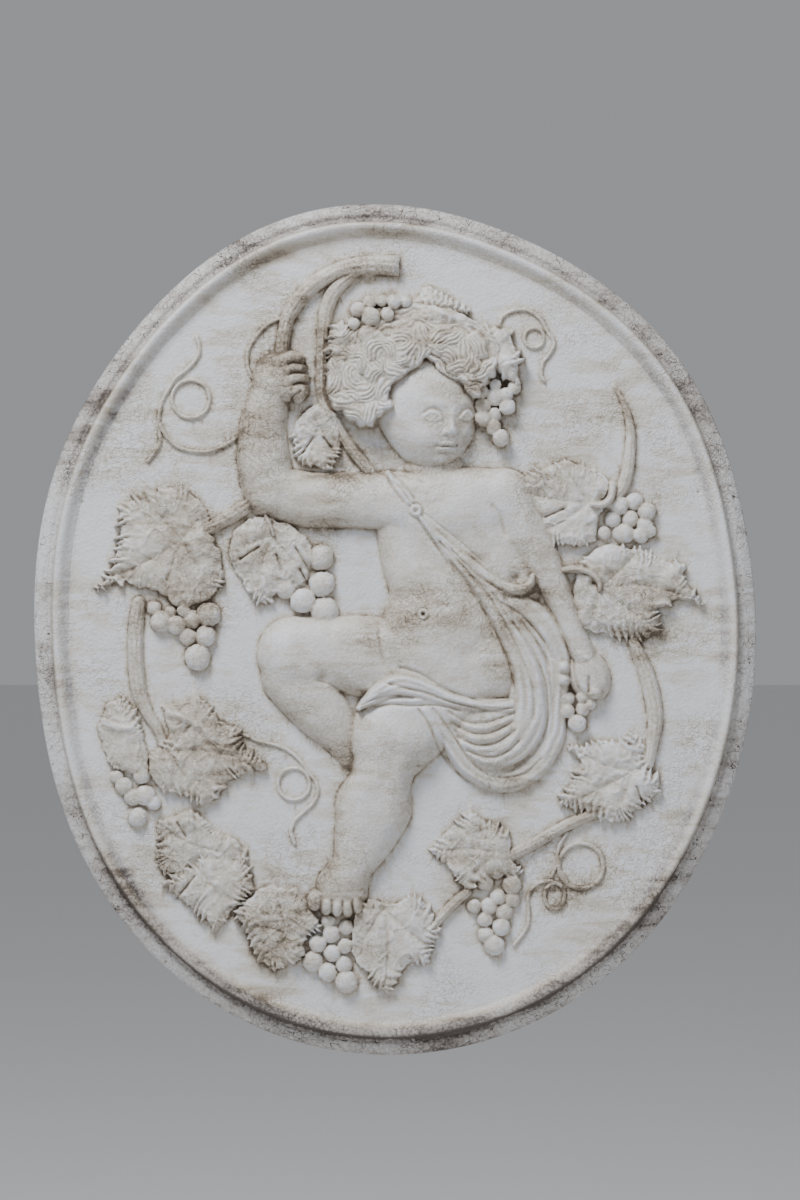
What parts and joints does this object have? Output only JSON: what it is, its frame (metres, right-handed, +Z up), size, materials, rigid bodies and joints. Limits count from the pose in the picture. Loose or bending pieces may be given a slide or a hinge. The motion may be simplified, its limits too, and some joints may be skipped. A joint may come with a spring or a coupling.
{
  "type": "oval plaster relief plaque",
  "caption": "Oval wall plaque cast in plaster, with a moulded rim and a relief of a seated child among vine leaves and grapes.",
  "frame": {"origin": "middle of the flat back, on the wall", "axes": "+Z is up, -Y points out of the wall along the carved face's normal, and +X is to the right seen from the front"},
  "size_m": [0.5939, 0.0447, 0.6999],
  "materials": {
    "plaster": "matt cast plaster, cool off-white on the high places, washed warm beige in the recesses"
  },
  "bodies": {
    "root": {"plaster_plaque": "plaster"}
  },
  "joints": []
}
